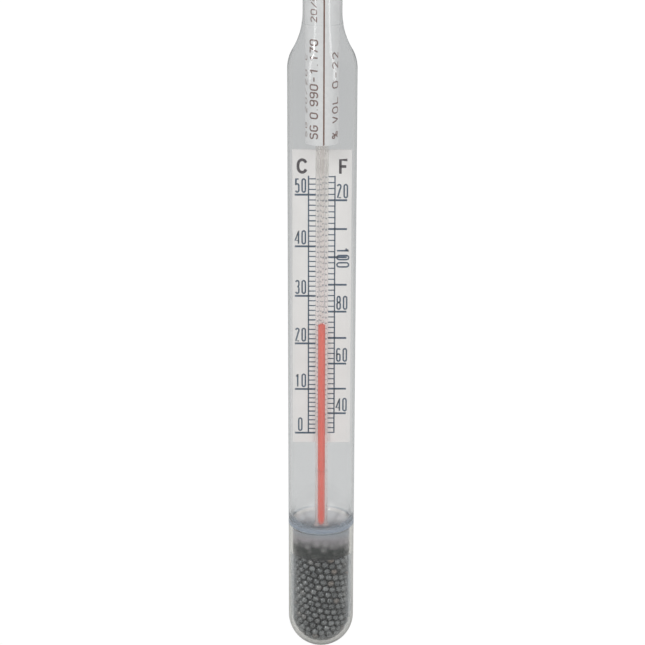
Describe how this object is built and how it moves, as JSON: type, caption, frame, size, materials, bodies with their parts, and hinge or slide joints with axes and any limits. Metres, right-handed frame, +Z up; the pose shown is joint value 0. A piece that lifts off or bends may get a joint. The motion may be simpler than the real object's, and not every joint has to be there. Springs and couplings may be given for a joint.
{
  "type": "brewing hydrometer with thermometer",
  "caption": "Sealed glass float with a round weighted bulb, a narrow stem holding a rolled paper scale, and a red-spirit thermometer with its card inside the body.",
  "frame": {"origin": "lowest point of the round bulb, on the float's axis", "axes": "+Z up along the stem, -Y the way the thermometer card faces, +X to the right of a reader who faces the card"},
  "size_m": [0.0202, 0.0202, 0.326],
  "materials": {
    "envelope_glass": "gloss",
    "thermometer_glass": "gloss",
    "scale_paper": "matte",
    "card_stock": "matte",
    "red_spirit": "gloss",
    "steel_shot": "satin",
    "ballast_resin": "satin",
    "adhesive": "satin"
  },
  "bodies": {
    "float": {"stem_tube": "envelope_glass", "body_tube": "envelope_glass", "ballast_partition": "envelope_glass", "ballast_bulb": "envelope_glass", "steel_shot": "steel_shot", "ballast_seal": "ballast_resin", "scale_roll": "scale_paper", "scale_glue": "adhesive", "thermometer_card": "card_stock", "card_glue_upper": "adhesive", "card_glue_lower": "adhesive", "capillary_tube": "thermometer_glass", "thermometer_bulb": "thermometer_glass", "spirit_reservoir": "red_spirit", "spirit_column": "red_spirit"},
    "spirit_top": {"spirit_meniscus": "red_spirit"}
  },
  "joints": [
    {"name": "spirit_rise", "type": "slide", "parent": "float", "child": "spirit_top", "axis": [0, 0, 1], "range_m": [-0.0358, 0.039], "deforming": ["spirit_column"]}
  ]
}
